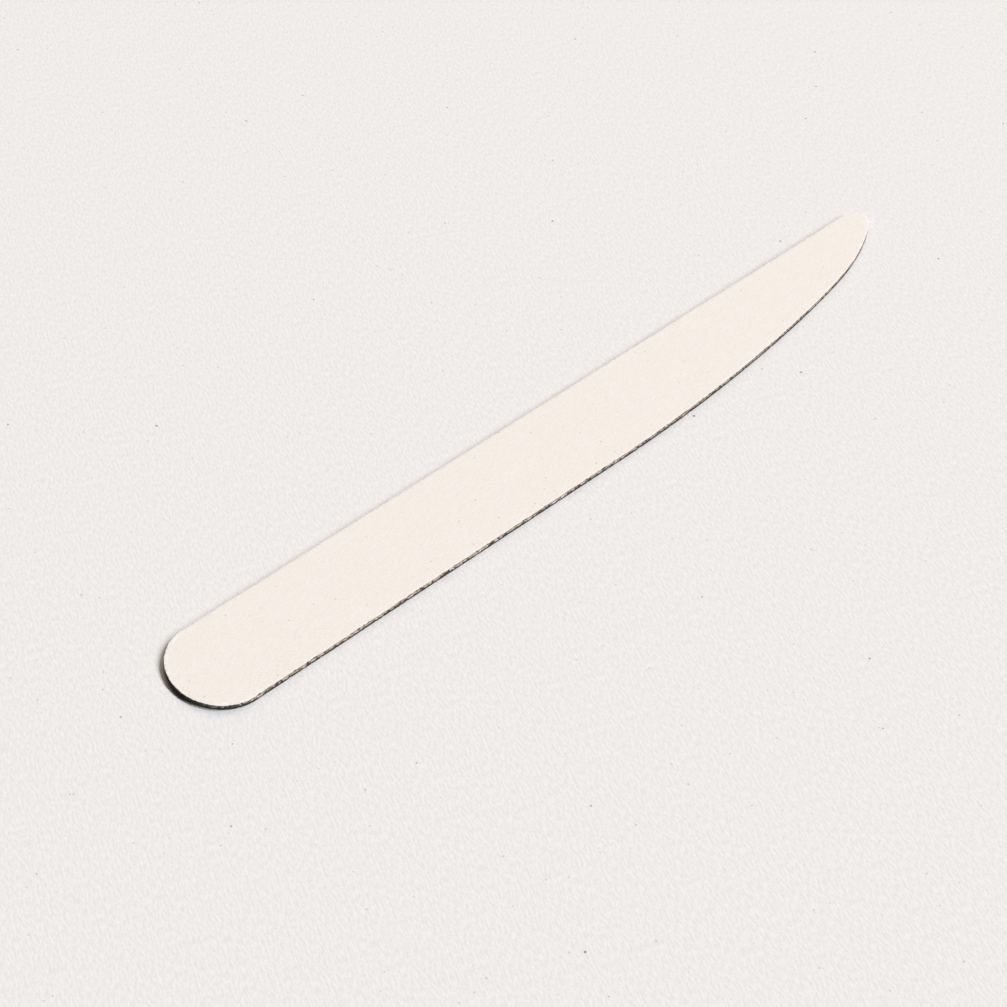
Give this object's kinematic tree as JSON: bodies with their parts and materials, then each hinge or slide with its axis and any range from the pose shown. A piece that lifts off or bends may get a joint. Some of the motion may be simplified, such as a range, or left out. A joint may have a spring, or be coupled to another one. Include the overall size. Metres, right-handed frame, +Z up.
{
  "type": "nail file",
  "caption": "Flat rigid nail file: abrasive sheets glued to both faces of a thin board, with a straight back, a round butt and a belly curved to a narrow tip.",
  "frame": {"origin": "below the middle of the file's length and width, on the surface that its underside lies on", "axes": "+X from the round butt to the narrow tip, +Y towards the straight back, +Z up from the underside to the top face"},
  "size_m": [0.178, 0.0198, 0.001],
  "materials": {
    "cream_grit": "fine matt abrasive, cream",
    "kraft_paper": "brown paper, cut edge",
    "glue": "dried glue line",
    "tan_board": "light tan board, rough cut edge"
  },
  "bodies": {
    "root": {"top_grit_coat": "cream_grit", "top_backing_paper": "kraft_paper", "top_glue_film": "glue", "core_board": "tan_board", "bottom_glue_film": "glue", "bottom_backing_paper": "kraft_paper", "bottom_grit_coat": "cream_grit"}
  },
  "joints": []
}
